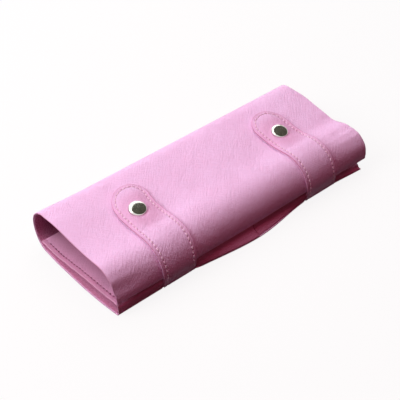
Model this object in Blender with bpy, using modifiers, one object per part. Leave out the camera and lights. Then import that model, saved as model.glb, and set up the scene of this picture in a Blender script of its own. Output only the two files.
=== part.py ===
"""Leather watch roll, closed, with two snap straps, for Blender 4.5. Metres, +Z up.

The roll lies on its base. Its long side runs along X, the straps come up at the front (-Y), and the
rounded spine is at the back (+Y). The origin is the middle of the underside of the closed roll.
One sheet of leather makes the base, the spine, the cover and the front flap. It is cut here at its
fold lines, so that each panel is one rigid piece whose joint lies on the outer skin of its fold.
Places across the roll are given as a depth: how far a point lies behind the outer face of the straps.
"""

from math import asin, atan, cos, pi, radians, sin

import bmesh
import bpy
from mathutils import Vector

# Whole roll
BASE_LENGTH = 0.263
COVER_OVERHANG = 0.0055
ROLL_DEPTH = 0.113
ROLL_HEIGHT = 0.037
FRONT_HEIGHT = 0.0336

# Leather and lining of the shell
LEATHER = 0.0010
LINING = 0.0006
PLY_GAP = 0.0003
FOLD_GAP = 0.0004
FRONT_RADIUS = 0.022
FLAP_DROP = 0.0015
LEFT_SAG = 0.0008
RIGHT_SAG = 0.0042
SAG_PEAK_SHARE = 0.3
LINING_MARGIN = 0.0015

# Straps
STRAP_WIDTH = 0.0345
STRAP_FACE = 0.0011
STRAP_BACKING = 0.0008
HUG_GAP = 0.0003
LEFT_STRAP_FROM_END = 0.06125
STRAP_SPACING = 0.1532
SNAP_DEPTH = 0.053
HINGE_BEFORE_SNAP = 0.009
TAB_BEYOND_SNAP = 0.0275
TIP_RISE = 0.004
RAMP_BEFORE_CAP = 0.0005
RAMP_LENGTH = 0.014

# Snaps
CAP_RADIUS = 0.0075
CAP_RIM = 0.0006
CAP_HEIGHT = 0.0031
SNAP_OFF_MIDDLE = -0.0012
SHANK_RADIUS = 0.0014
HOLE_CLEARANCE = 0.0003
SOCKET_RADIUS = 0.0055
SOCKET_BORE_RADIUS = 0.0038
SOCKET_HEIGHT = 0.0018
SOCKET_ROOF = 0.0004
STUD_FLANGE_RADIUS = 0.0045
STUD_FLANGE = 0.0006
STUD_NECK_RADIUS = 0.0025
STUD_HEAD_RADIUS = 0.0030
STUD_HEAD = 0.0007
STUD_NECK = 0.0006
STUD_IN_SOCKET = 0.0011
POST_FLANGE = 0.0006
PIECE_GAP = 0.0003
CUT_OVERRUN = 0.002

# Lips and inner flaps
LIP_LEATHER = 0.0012
LEFT_LIP_HEIGHT = 0.0060
RIGHT_LIP_HEIGHT = 0.0045
LIP_BULGE = 0.007
BULGE_SPREAD = 0.058
RIGHT_BULGE_SHARE = 0.8
FLAP_FRONT_RADIUS = 0.0045
FLAP_FACE = 0.0008
FLAP_LINING = 0.0006
FLAP_BACK_HEIGHT = 0.0080
FLAP_BACK_DEPTH = 0.1025
FLAP_SPLIT_GAP = 0.0010
END_MARGIN = 0.0010

# How finely the bends are cut
SPINE_STEPS = 6
FRONT_STEPS = 4
COVER_STEPS = 8
COVER_LENGTH_STEPS = 6
STRAP_STEPS = 5
TIP_STEPS = 8
BULGE_STEPS = 10
ROUND_SIDES = 32

# Fold lines, as angles around the spine from its bottom and around the front fold from its top
SPINE_FOLD_ANGLES = (radians(45), radians(135))
FLAP_FOLD_ANGLE = radians(30)
STRAP_FOLD_ANGLE = radians(45)

# Worked out from the sizes above
STRAP_THICK = STRAP_FACE + PLY_GAP + STRAP_BACKING
SHELL_THICK = LEATHER + PLY_GAP + LINING
SHELL_FRONT = STRAP_THICK + HUG_GAP
FOLD_DEPTH = SHELL_FRONT + FRONT_RADIUS
FOLD_CENTRE_Z = FRONT_HEIGHT - FRONT_RADIUS
SPINE_RADIUS = ROLL_HEIGHT / 2
SPINE_DEPTH = ROLL_DEPTH - SPINE_RADIUS
TAB_HINGE_DEPTH = SNAP_DEPTH - HINGE_BEFORE_SNAP
STRAP_END_DEPTH = SNAP_DEPTH + TAB_BEYOND_SNAP
RAMP_START_DEPTH = SNAP_DEPTH - CAP_RADIUS - RAMP_BEFORE_CAP - RAMP_LENGTH
SNAP_RISE = PIECE_GAP + STUD_FLANGE + STUD_NECK + STUD_HEAD - STUD_IN_SOCKET + SOCKET_HEIGHT + PIECE_GAP
LEFT_END = -(BASE_LENGTH + COVER_OVERHANG) / 2
BASE_RIGHT = LEFT_END + BASE_LENGTH
COVER_RIGHT = BASE_RIGHT + COVER_OVERHANG
LEFT_STRAP_X = LEFT_END + LEFT_STRAP_FROM_END
RIGHT_STRAP_X = LEFT_STRAP_X + STRAP_SPACING
SPLIT_X = (LEFT_STRAP_X + RIGHT_STRAP_X) / 2
BULGE_FRONT = SHELL_FRONT - LIP_BULGE
MID_DEPTH = (min(BULGE_FRONT, 0.0) + ROLL_DEPTH) / 2

PINK = (0.80, 0.42, 0.64)
DEEP_PINK = (0.62, 0.25, 0.44)
ROSE_LINING = (0.45, 0.13, 0.25)
NICKEL = (0.78, 0.77, 0.74)
STEEL = (0.55, 0.55, 0.54)


def clear_scene():
    for old in list(bpy.data.objects):
        bpy.data.objects.remove(old, do_unlink=True)


def new_collection(name):
    group = bpy.data.collections.new(name)
    bpy.context.scene.collection.children.link(group)
    return group


def material(name, colour, roughness, metallic):
    made = bpy.data.materials.new(name)
    made.use_nodes = True
    shader = made.node_tree.nodes["Principled BSDF"]
    shader.inputs["Base Color"].default_value = (*colour, 1.0)
    shader.inputs["Roughness"].default_value = roughness
    shader.inputs["Metallic"].default_value = metallic
    made.diffuse_color = (*colour, 1.0)
    return made


def place(x, depth, z):
    """A point of the roll from its length, depth and height."""
    return Vector((x, depth - MID_DEPTH, z))


def finish_object(name, mesh_data, group, look, parent):
    """An object with its own material. Its look is a colour, a roughness and a metallic value."""
    made = bpy.data.objects.new(name, mesh_data)
    group.objects.link(made)
    mesh_data.materials.append(material(name, *look))
    if parent is not None:
        made.parent = parent
        made.matrix_parent_inverse = parent.matrix_world.inverted()
    return made


def pivot(name, depth, z, group, parent=None):
    """An empty on the axis of one fold. The pieces that turn about it hang from it."""
    empty = bpy.data.objects.new(name, None)
    group.objects.link(empty)
    empty.location = place(0.0, depth, z)
    if parent is not None:
        empty.parent = parent
        empty.matrix_parent_inverse = parent.matrix_world.inverted()
    bpy.context.view_layer.update()
    return empty


def sheet(name, rows, thickness, outward, group, look, parent=None):
    """A sheet laid through rows of points on a grid, then given its thickness inwards."""
    columns = len(rows[0])
    bm = bmesh.new()
    bmesh.ops.create_grid(bm, x_segments=columns - 1, y_segments=len(rows) - 1, size=1.0)
    for vert in bm.verts:
        column = round((vert.co.x + 1.0) / 2 * (columns - 1))
        row = round((vert.co.y + 1.0) / 2 * (len(rows) - 1))
        vert.co = rows[row][column]
    bmesh.ops.remove_doubles(bm, verts=bm.verts, dist=PLY_GAP / 10)
    bm.normal_update()
    bm.faces.ensure_lookup_table()
    if bm.faces[0].normal.dot(Vector(outward)) < 0:
        bmesh.ops.reverse_faces(bm, faces=bm.faces)
    data = bpy.data.meshes.new(name)
    bm.to_mesh(data)
    bm.free()
    data.shade_smooth()
    made = finish_object(name, data, group, look, parent)
    thicken = made.modifiers.new("thickness", "SOLIDIFY")
    thicken.thickness = thickness
    thicken.offset = -1.0
    thicken.use_even_offset = True
    return made


def straight_rows(section, left, right):
    """Two points at each step of a section, at the left and the right end of the piece."""
    return [(place(left, depth, z), place(right, depth, z)) for depth, z in section]


def lengthwise_rows(section_at, left, right, steps):
    """Rows for a piece whose section changes along its length."""
    places = [between(left, right, share) for share in shares(steps)]
    columns = [[place(x, depth, z) for depth, z in section_at(x)] for x in places]
    return list(zip(*columns))


def shares(steps):
    return [step / steps for step in range(steps + 1)]


def between(start, end, share):
    return start + (end - start) * share


def cover_height(x, depth):
    """The closed cover's outer face falls from the spine to the front fold and sags on its way."""
    share = (depth - FOLD_DEPTH) / (SPINE_DEPTH - FOLD_DEPTH)
    sag = between(LEFT_SAG, RIGHT_SAG, (x - LEFT_END) / (COVER_RIGHT - LEFT_END))
    if share < SAG_PEAK_SHARE:
        dip = smooth_step(share / SAG_PEAK_SHARE)
    else:
        dip = 1 - smooth_step((share - SAG_PEAK_SHARE) / (1 - SAG_PEAK_SHARE))
    return between(FRONT_HEIGHT, ROLL_HEIGHT, smooth_step(share)) - sag * dip


def spine_point(angle, inset):
    radius = SPINE_RADIUS - inset
    return SPINE_DEPTH + radius * sin(angle), SPINE_RADIUS - radius * cos(angle)


def front_point(angle, inset):
    radius = FRONT_RADIUS - inset
    return FOLD_DEPTH - radius * sin(angle), FOLD_CENTRE_Z + radius * cos(angle)


def spine_arc(start, end, inset, trim_start, trim_end, steps):
    """Points round the spine, stopping short of a fold line at each end that has one."""
    short = FOLD_GAP / 2 / SPINE_RADIUS
    first, last = start + short * trim_start, end - short * trim_end
    return [spine_point(between(first, last, share), inset) for share in shares(steps)]


def front_arc(start, end, inset, trim_start, trim_end, steps):
    short = FOLD_GAP / 2 / FRONT_RADIUS
    first, last = start + short * trim_start, end - short * trim_end
    return [front_point(between(first, last, share), inset) for share in shares(steps)]


def base_section(inset, front):
    arc = spine_arc(0.0, SPINE_FOLD_ANGLES[0], inset, 0, 1, SPINE_STEPS // 2)
    return [(front, inset)] + arc


def cover_section(x, inset):
    back = spine_arc(SPINE_FOLD_ANGLES[1], pi, inset, 1, 0, SPINE_STEPS // 2)
    top = [between(SPINE_DEPTH, FOLD_DEPTH, share) for share in shares(COVER_STEPS)][1:-1]
    middle = [(depth, cover_height(x, depth) - inset) for depth in top]
    front = front_arc(0.0, FLAP_FOLD_ANGLE, inset, 0, 1, FRONT_STEPS // 2)
    return back + middle + front


def flap_drop_section(inset):
    """The front flap goes on round the fold and a little way straight down to its edge."""
    arc = front_arc(FLAP_FOLD_ANGLE, pi / 2, inset, 1, 0, FRONT_STEPS)
    return arc + [(arc[-1][0], arc[-1][1] - FLAP_DROP)]


def strap_arc(start, end, inset, trim_start, trim_end):
    """Points of the strap round the front fold, from the front (0) up to the top (a right angle)."""
    radius = FRONT_RADIUS + SHELL_FRONT - inset
    short = FOLD_GAP / 2 / radius
    first, last = start + short * trim_start, end - short * trim_end
    angles = [between(first, last, share) for share in shares(STRAP_STEPS)]
    return [(FOLD_DEPTH - radius * cos(angle), FOLD_CENTRE_Z + radius * sin(angle)) for angle in angles]


def smooth_step(share):
    share = min(max(share, 0.0), 1.0)
    return share * share * (3 - 2 * share)


def strap_rise(depth):
    """How far the strap lies over the cover: held up at the snap, low at the fold and the tip."""
    up = smooth_step((depth - RAMP_START_DEPTH) / RAMP_LENGTH)
    snap_end = SNAP_DEPTH + CAP_RADIUS
    down = smooth_step((depth - snap_end) / (STRAP_END_DEPTH - snap_end))
    return between(between(HUG_GAP, SNAP_RISE, up), TIP_RISE, down)


def strap_top(x, depth, inset):
    """The outer face of a strap, less an inset, where it lies over the cover."""
    return cover_height(x, depth) + strap_rise(depth) + STRAP_THICK - inset


def cylinder(bm, radius, low, high):
    made = bmesh.ops.create_cone(
        bm, cap_ends=True, segments=ROUND_SIDES, radius1=radius, radius2=radius, depth=high - low
    )
    bmesh.ops.translate(bm, verts=made["verts"], vec=(0.0, 0.0, (low + high) / 2))


def snap_seat(x):
    """Where the snap stands on the cover, and how far the cover tilts it there."""
    middle = x + SNAP_OFF_MIDDLE
    low, high = SNAP_DEPTH - CAP_RADIUS, SNAP_DEPTH + CAP_RADIUS
    tilt = atan((cover_height(middle, high) - cover_height(middle, low)) / (high - low))
    return place(middle, SNAP_DEPTH, cover_height(middle, SNAP_DEPTH)), tilt


def hole_cutter(name, x, low, high, radius, group):
    """A cutter through the leather at the snap, with its ends given as heights over the cover."""
    bm = bmesh.new()
    cylinder(bm, radius, low, high)
    data = bpy.data.meshes.new(name)
    bm.to_mesh(data)
    bm.free()
    cutter = bpy.data.objects.new(name, data)
    group.objects.link(cutter)
    cutter.location, cutter.rotation_euler.x = snap_seat(x)
    cutter.hide_render = True
    cutter.display_type = "WIRE"
    return cutter


def cut(piece, cutter):
    hole = piece.modifiers.new("hole", "BOOLEAN")
    hole.operation = "DIFFERENCE"
    hole.object = cutter


def turned(name, profile, x, group, look, parent):
    """A round piece of the snap from half its outline, with its heights taken over the cover."""
    bm = bmesh.new()
    points = [bm.verts.new((radius, 0.0, z)) for radius, z in profile]
    for pair in zip(points, points[1:]):
        bm.edges.new(pair)
    data = bpy.data.meshes.new(name)
    bm.to_mesh(data)
    bm.free()
    made = finish_object(name, data, group, look, None)
    made.location, made.rotation_euler.x = snap_seat(x)
    spin = made.modifiers.new("turning", "SCREW")
    spin.axis = "Z"
    spin.steps = ROUND_SIDES
    spin.render_steps = ROUND_SIDES
    spin.use_merge_vertices = True
    spin.merge_threshold = PLY_GAP / 10
    spin.use_smooth_shade = True
    bpy.context.view_layer.update()
    made.parent = parent
    made.matrix_parent_inverse = parent.matrix_world.inverted()
    return made


def make_base(group):
    leather = straight_rows(base_section(0.0, SHELL_FRONT), LEFT_END, BASE_RIGHT)
    sheet("base_panel", leather, LEATHER, (0, 0, -1), group, (PINK, 0.5, 0.0))
    front = SHELL_FRONT + LIP_LEATHER + PIECE_GAP
    lining = base_section(LEATHER + PLY_GAP, front)
    left, right = LEFT_END + LINING_MARGIN, BASE_RIGHT - LINING_MARGIN
    sheet("base_lining", straight_rows(lining, left, right), LINING, (0, 0, -1), group,
          (ROSE_LINING, 0.9, 0.0))


def lip_bulge(x):
    """The fold stands forward of its line midway between the straps."""
    return LIP_BULGE * smooth_step(1 - abs(x - SPLIT_X) / BULGE_SPREAD)


def make_lip(name, left, right, height, bulge_share, group):
    """The leather turned up from the front edge of the base, which carries the inner flap."""
    bottom = LEATHER + PLY_GAP
    top = height - FOLD_GAP / 2
    rows = []
    for share in shares(FRONT_STEPS):
        z = between(bottom, top, share)
        pushed = bulge_share * cos(pi / 2 * share) ** 2
        columns = [between(left, right, step) for step in shares(BULGE_STEPS)]
        rows.append([place(x, SHELL_FRONT - lip_bulge(x) * pushed, z) for x in columns])
    return sheet(name, rows, LIP_LEATHER, (0, -1, 0), group, (DEEP_PINK, 0.5, 0.0))


def flap_section(lip_height, inset):
    """From the top of the lip, round its fold and back over the base."""
    radius = FLAP_FRONT_RADIUS - inset
    centre_depth, centre_z = SHELL_FRONT + FLAP_FRONT_RADIUS, lip_height
    short = FOLD_GAP / 2 / FLAP_FRONT_RADIUS
    angles = [between(short, pi / 2, share) for share in shares(FRONT_STEPS)]
    arc = [(centre_depth - radius * cos(angle), centre_z + radius * sin(angle)) for angle in angles]
    return arc + [(FLAP_BACK_DEPTH, FLAP_BACK_HEIGHT - inset)]


def make_inner_flap(side, left, right, lip_height, group):
    fold = pivot(f"inner_flap_{side}_fold", SHELL_FRONT, lip_height, group)
    face = straight_rows(flap_section(lip_height, 0.0), left, right)
    sheet(f"inner_flap_{side}_face", face, FLAP_FACE, (0, -1, 0), group, (DEEP_PINK, 0.5, 0.0), fold)
    lining = straight_rows(flap_section(lip_height, FLAP_FACE + PLY_GAP), left, right)
    sheet(f"inner_flap_{side}_lining", lining, FLAP_LINING, (0, -1, 0), group,
          (ROSE_LINING, 0.9, 0.0), fold)


def make_shell(group, cutters):
    """Spine, cover and front flap, each leather with its lining, hung from the fold before it."""
    inner = LEATHER + PLY_GAP
    left, right = LEFT_END + LINING_MARGIN, COVER_RIGHT - LINING_MARGIN
    spine_fold = pivot("spine_fold", *spine_point(SPINE_FOLD_ANGLES[0], 0.0), group)
    cover_fold = pivot("cover_fold", *spine_point(SPINE_FOLD_ANGLES[1], 0.0), group, spine_fold)
    flap_fold = pivot("flap_fold", *front_point(FLAP_FOLD_ANGLE, 0.0), group, cover_fold)
    sections = {
        "spine": (lambda x, inset: spine_arc(*SPINE_FOLD_ANGLES, inset, 1, 1, SPINE_STEPS),
                  (0, 1, 0), spine_fold, 1),
        "cover": (cover_section, (0, 1, 0), cover_fold, COVER_LENGTH_STEPS),
        "front_flap": (lambda x, inset: flap_drop_section(inset), (0, -1, 0), flap_fold, 1),
    }
    for name, (section, outward, fold, steps) in sections.items():
        outer = lengthwise_rows(lambda x: section(x, 0.0), LEFT_END, COVER_RIGHT, steps)
        panel = sheet(f"{name}_panel", outer, LEATHER, outward, group, (PINK, 0.5, 0.0), fold)
        inside = lengthwise_rows(lambda x: section(x, inner), left, right, steps)
        look = (ROSE_LINING, 0.9, 0.0)
        lining = sheet(f"{name}_lining", inside, LINING, outward, group, look, fold)
        if name == "cover":
            for side, x in (("left", LEFT_STRAP_X), ("right", RIGHT_STRAP_X)):
                cutter = hole_cutter(f"cover_{side}_hole", x, -SHELL_THICK - CUT_OVERRUN, CUT_OVERRUN,
                                     SHANK_RADIUS + HOLE_CLEARANCE, cutters)
                cut(panel, cutter)
                cut(lining, cutter)
                make_stud(side, x, group, fold)


def make_stud(side, x, group, parent):
    """The snap's lower half on the cover, and the post under the lining that holds it."""
    floor = PIECE_GAP
    flange = floor + STUD_FLANGE
    neck = flange + STUD_NECK
    top = neck + STUD_HEAD
    profile = [(0.0, top), (STUD_NECK_RADIUS, top), (STUD_HEAD_RADIUS, (neck + top) / 2),
               (STUD_NECK_RADIUS, neck), (STUD_NECK_RADIUS, flange), (STUD_FLANGE_RADIUS, flange),
               (STUD_FLANGE_RADIUS, floor), (0.0, floor)]
    turned(f"snap_stud_{side}", profile, x, group, (STEEL, 0.3, 1.0), parent)
    under = -SHELL_THICK - PIECE_GAP
    end = floor - PIECE_GAP
    post = [(0.0, end), (SHANK_RADIUS, end), (SHANK_RADIUS, under), (STUD_FLANGE_RADIUS, under),
            (STUD_FLANGE_RADIUS, under - POST_FLANGE), (0.0, under - POST_FLANGE)]
    turned(f"stud_post_{side}", post, x, group, (STEEL, 0.3, 1.0), parent)


def make_cap(side, x, group, parent):
    """The domed cap that shows, with its shank through the strap, and the socket it grips below."""
    under = strap_rise(SNAP_DEPTH)
    skin = under + STRAP_THICK + PIECE_GAP
    rim = skin + CAP_RIM
    dome = CAP_HEIGHT - CAP_RIM
    sphere = (CAP_RADIUS ** 2 + dome ** 2) / (2 * dome)
    half_angle = asin(CAP_RADIUS / sphere)
    arc = [half_angle * share for share in shares(TIP_STEPS)]
    profile = [(sphere * sin(angle), rim + dome - sphere * (1 - cos(angle))) for angle in arc]
    profile += [(CAP_RADIUS, skin), (SHANK_RADIUS, skin), (SHANK_RADIUS, under), (0.0, under)]
    turned(f"snap_cap_{side}", profile, x, group, (NICKEL, 0.15, 1.0), parent)
    top = under - PIECE_GAP
    low, roof = top - SOCKET_HEIGHT, top - SOCKET_ROOF
    socket = [(0.0, top), (SOCKET_RADIUS, top), (SOCKET_RADIUS, low), (SOCKET_BORE_RADIUS, low),
              (SOCKET_BORE_RADIUS, roof), (0.0, roof)]
    turned(f"snap_socket_{side}", socket, x, group, (STEEL, 0.3, 1.0), parent)


def strap_sections(x, inset):
    """The strap's three stretches: up the front, over the fold and out to the tab."""
    lower = [(inset, 0.0)] + strap_arc(0.0, STRAP_FOLD_ANGLE, inset, 0, 1)
    bend = strap_arc(STRAP_FOLD_ANGLE, pi / 2, inset, 1, 0)
    short = FOLD_GAP / 2
    flat = [between(FOLD_DEPTH, TAB_HINGE_DEPTH - short, share) for share in shares(COVER_STEPS)][1:]
    upper = bend + [(depth, strap_top(x, depth, inset)) for depth in flat]
    return lower, upper


def tab_rows(x, inset):
    """The tab's free end is half round. Its rows narrow towards the tip, which closes to a point."""
    half = STRAP_WIDTH / 2
    start, shoulder = TAB_HINGE_DEPTH + FOLD_GAP / 2, STRAP_END_DEPTH - half
    straight = [(between(start, shoulder, share), half) for share in shares(COVER_STEPS)][:-1]
    turns = [pi / 2 * share for share in shares(TIP_STEPS)]
    rounded = [(shoulder + half * sin(turn), half * cos(turn)) for turn in turns]
    rows = []
    for depth, reach in straight + rounded:
        ends = (x - reach, x + reach)
        rows.append([place(end, depth, strap_top(end, depth, inset)) for end in ends])
    return rows


def make_strap(side, x, group, cutters):
    """One two-ply strap: a face and a backing, in three stretches that fold where the strap bends."""
    hinge_z = FOLD_CENTRE_Z + (FRONT_RADIUS + SHELL_FRONT) * sin(STRAP_FOLD_ANGLE)
    hinge_depth = FOLD_DEPTH - (FRONT_RADIUS + SHELL_FRONT) * cos(STRAP_FOLD_ANGLE)
    root = pivot(f"strap_{side}_root", 0.0, 0.0, group)
    bend = pivot(f"strap_{side}_bend", hinge_depth, hinge_z, group, root)
    tab_z = strap_top(x, TAB_HINGE_DEPTH, 0.0)
    tab = pivot(f"strap_{side}_tab_hinge", TAB_HINGE_DEPTH, tab_z, group, bend)
    left, right = x - STRAP_WIDTH / 2, x + STRAP_WIDTH / 2
    under = strap_rise(SNAP_DEPTH)
    cutter = hole_cutter(f"strap_{side}_hole", x, under - CUT_OVERRUN, under + STRAP_THICK + CUT_OVERRUN,
                         SHANK_RADIUS + HOLE_CLEARANCE, cutters)
    plies = (("face", 0.0, STRAP_FACE, PINK), ("backing", STRAP_FACE + PLY_GAP, STRAP_BACKING, DEEP_PINK))
    for ply, inset, thick, colour in plies:
        look = (colour, 0.5, 0.0)
        for index, (stretch, fold) in enumerate((("lower", root), ("upper", bend))):
            rows = lengthwise_rows(lambda end: strap_sections(end, inset)[index], left, right, 1)
            sheet(f"strap_{side}_{stretch}_{ply}", rows, thick, (0, -1, 0), group, look, fold)
        end = sheet(f"strap_{side}_tab_{ply}", tab_rows(x, inset), thick, (0, 0, 1), group, look, tab)
        cut(end, cutter)
    make_cap(side, x, group, tab)


def main():
    clear_scene()
    roll = new_collection("watch_roll")
    cutters = new_collection("cutters")
    make_base(roll)
    inner_left, inner_right = LEFT_END + END_MARGIN, BASE_RIGHT - END_MARGIN
    split_left, split_right = SPLIT_X - FLAP_SPLIT_GAP / 2, SPLIT_X + FLAP_SPLIT_GAP / 2
    make_lip("front_lip_left", inner_left, split_left, LEFT_LIP_HEIGHT, 1.0, roll)
    make_lip("front_lip_right", split_right, inner_right, RIGHT_LIP_HEIGHT, RIGHT_BULGE_SHARE, roll)
    make_inner_flap("left", inner_left, split_left, LEFT_LIP_HEIGHT, roll)
    make_inner_flap("right", split_right, inner_right, RIGHT_LIP_HEIGHT, roll)
    make_shell(roll, cutters)
    make_strap("left", LEFT_STRAP_X, roll, cutters)
    make_strap("right", RIGHT_STRAP_X, roll, cutters)


main()
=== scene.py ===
"""Looks of a pink leather watch roll, lying closed with its two straps snapped over the cover.

Every leather or cloth piece is cut flat, as on the bench, and then laid on the roll. A flat piece has
its own two lengths: across, along the roll, and run, the way that the strip of leather takes round it.
Places across the roll are depths behind the straps' outer face. Lengths are in metres.
"""

from math import atan2, cos, hypot, pi, radians, sin, tan

import bmesh
import bpy
from mathutils import Matrix, Vector, noise


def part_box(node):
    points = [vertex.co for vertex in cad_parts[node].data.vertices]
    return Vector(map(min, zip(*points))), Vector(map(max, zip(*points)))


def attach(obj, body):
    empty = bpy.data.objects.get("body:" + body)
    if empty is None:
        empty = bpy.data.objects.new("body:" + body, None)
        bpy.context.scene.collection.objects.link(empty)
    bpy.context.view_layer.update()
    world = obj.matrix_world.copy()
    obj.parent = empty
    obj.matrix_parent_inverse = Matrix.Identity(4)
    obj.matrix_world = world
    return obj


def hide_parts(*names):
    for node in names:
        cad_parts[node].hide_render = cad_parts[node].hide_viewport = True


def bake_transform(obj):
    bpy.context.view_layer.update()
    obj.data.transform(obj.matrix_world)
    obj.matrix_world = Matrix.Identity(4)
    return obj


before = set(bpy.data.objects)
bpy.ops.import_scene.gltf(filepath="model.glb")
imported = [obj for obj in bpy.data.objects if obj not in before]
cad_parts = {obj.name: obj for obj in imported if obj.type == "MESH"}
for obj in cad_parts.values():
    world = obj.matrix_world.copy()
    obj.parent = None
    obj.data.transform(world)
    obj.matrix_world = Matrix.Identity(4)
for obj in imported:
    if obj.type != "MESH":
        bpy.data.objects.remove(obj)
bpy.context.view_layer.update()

SIDES = ("left", "right")

# Sizes and places read from the solids
FRONT_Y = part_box("strap_left_lower_face")[0].y
LEFT_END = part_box("base_panel")[0].x
BASE_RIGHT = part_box("base_panel")[1].x
COVER_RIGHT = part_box("cover_panel")[1].x
SPLIT_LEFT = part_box("front_lip_left")[1].x
SPLIT_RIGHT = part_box("front_lip_right")[0].x
LIP_LEFT_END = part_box("front_lip_left")[0].x
LIP_RIGHT_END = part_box("front_lip_right")[1].x
SPLIT_X = (SPLIT_LEFT + SPLIT_RIGHT) / 2
STRAP_X = {side: sum(corner.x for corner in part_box(f"strap_{side}_lower_face")) / 2 for side in SIDES}
STRAP_HALF = (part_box("strap_left_lower_face")[1].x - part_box("strap_left_lower_face")[0].x) / 2
ROLL_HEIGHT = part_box("cover_panel")[1].z
ROLL_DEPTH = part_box("spine_panel")[1].y - FRONT_Y

# Leather and cloth
LEATHER = 0.0010
LINING = 0.0006
PLY_GAP = 0.0003
PLY_REACH = LEATHER + PLY_GAP
STRAP_FACE, STRAP_BACKING = 0.0009, 0.0006
STRAP_PLY_GAP = 0.0001
STRAP_THICK = STRAP_FACE + STRAP_PLY_GAP + STRAP_BACKING
STRAP_SET_BACK = 0.0005
EDGE_ROUND = 0.0004
LINING_MARGIN = 0.0007
SHARP_ANGLE = radians(48)

# Section of the roll: depths from the straps' face, turns, and the lengths along the leather that they give
SHELL_FRONT = 0.0025
FRONT_HEIGHT = 0.0336
FRONT_RADIUS = 0.022
FLAP_DROP = 0.0015
SAG_SHARES, SAGS = (0.0, 0.27, 0.5, 0.74, 1.0), (0.0012, 0.0020, 0.0009, 0.0029, 0.0046)
SAG_PEAK_SHARE = 0.3
CROWN_SHARE = 0.15
SLOPE_ANGLE = radians(7.5)
SPINE_FULLNESS = 0.9
SNAP_DIMPLES, DIMPLE_REACH = {"left": 0.0005, "right": 0.0010}, 0.020
SPINE_RADIUS = ROLL_HEIGHT / 2
SPINE_DEPTH = ROLL_DEPTH - SPINE_RADIUS
FOLD_DEPTH = SHELL_FRONT + FRONT_RADIUS
FOLD_Z = FRONT_HEIGHT - FRONT_RADIUS
BASE_RUN = SPINE_DEPTH - SHELL_FRONT
SPINE_RUN = BASE_RUN + pi * SPINE_RADIUS
COVER_RUN = SPINE_RUN + SPINE_DEPTH - FOLD_DEPTH
FOLD_RUN = COVER_RUN + pi / 2 * FRONT_RADIUS
SHELL_RUN = FOLD_RUN + FLAP_DROP
SPINE_JOIN = BASE_RUN + pi / 2 * SPINE_RADIUS
COVER_JOIN = SPINE_RUN + 0.025
SHELL_JOINS = (SPINE_JOIN, COVER_JOIN)

# How the leather has settled: the base's front edge, both ends, the front fold and the flap's lower edge
FRONT_BULGE = 0.0074
LEFT_SPREAD, RIGHT_SPREAD = 0.082, 0.066
TUCK_UNDER_STRAP = 0.0013
TUCK_FADE = 0.0024
BULGE_FADE = 0.030
RIGHT_END_FORWARD, RIGHT_END_SQUASH = 0.0024, 0.45
END_ZONE = 0.045
BASE_SWELL, SPINE_SWELL, COVER_SWELL = 0.0031, 0.0012, -0.0012
BASE_SWELL_RUN = 0.05
SWELL_EASE_START, SWELL_EASE_LENGTH = 0.8 * BASE_RUN, 0.5 * BASE_RUN
SPINE_DRAW, SPINE_DRAW_RUN = 0.0018, 0.020
LEFT_LIFT_SHARES, LEFT_LIFTS = (0.0, 0.35, 0.8, 1.0), (0.0005, 0.0010, 0.0026, 0.0016)
EDGE_DROP_SHARES = (0.0, 0.15, 0.51, 0.73, 0.87, 1.0)
EDGE_DROPS = (-0.0012, 0.0004, 0.0015, 0.0008, 0.0024, 0.0012)
FOLD_ANGLE_SHARES = (-0.9, -0.35, 0.1, 0.25, 0.42, 0.69, 0.92, 1.05)
LEFT_FOLD_SWELLS = (0.0, 0.0, 0.0009, 0.0007, 0.0001, -0.0016, -0.0006, -0.0002)
RIGHT_FOLD_SWELLS = (0.0, -0.0018, -0.0010, 0.0004, 0.0018, 0.0026, 0.0018, 0.0011)
SOFTNESS = 0.00015
SOFT_SCALE = 28.0

# Straps
STRAP_RADIUS = FRONT_RADIUS + SHELL_FRONT - STRAP_SET_BACK
STRAP_RISE_RUN = FOLD_Z
STRAP_TOP_RUN = STRAP_RISE_RUN + pi / 2 * STRAP_RADIUS
STRAP_END_DEPTH = 0.0822
STRAP_END_RUN = STRAP_TOP_RUN + STRAP_END_DEPTH - FOLD_DEPTH
SNAP_DEPTH = 0.053
SNAP_RUN = STRAP_TOP_RUN + SNAP_DEPTH - FOLD_DEPTH
SHOULDER_RUN = STRAP_END_RUN - STRAP_HALF
HUG_GAP, SNAP_LIFT, TIP_LIFT = 0.0003, 0.0032, 0.0020
EDGE_LIFT = 0.0007
DRAPE_START, DRAPE_WIDTH = 0.0065, 0.0105
LEFT_STRAP_TAPER = 0.0030
TAPER_RUN = 0.042
RAMP_START_DEPTH, RAMP_LENGTH = 0.031, 0.014
STRAP_TUCK = 0.0021
TAB_SKEWS = {"left": 0.0044, "right": 0.0008}

# Thread: a stitch reaches a share of the pitch to either side and draws the leather down
STITCH_PITCH = 0.0038
STITCH_INSET, FLAP_STITCH_INSET = 0.0034, 0.0036
STITCH_REACH, FLAP_STITCH_REACH = 0.37, 0.26
FIRST_FLAP_STITCH = 2
THREAD_RADIUS = 0.00055
THREAD_SEGMENTS, THREAD_RINGS = 8, 6
HOLE_PRESS, CHANNEL_PRESS, CHANNEL_HALF = 0.00025, 0.00016, 0.0008
HOLE_LENGTH_SHARE = 0.25
ON_SIDE = Matrix.Rotation(pi / 2, 4, "Y")

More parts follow.
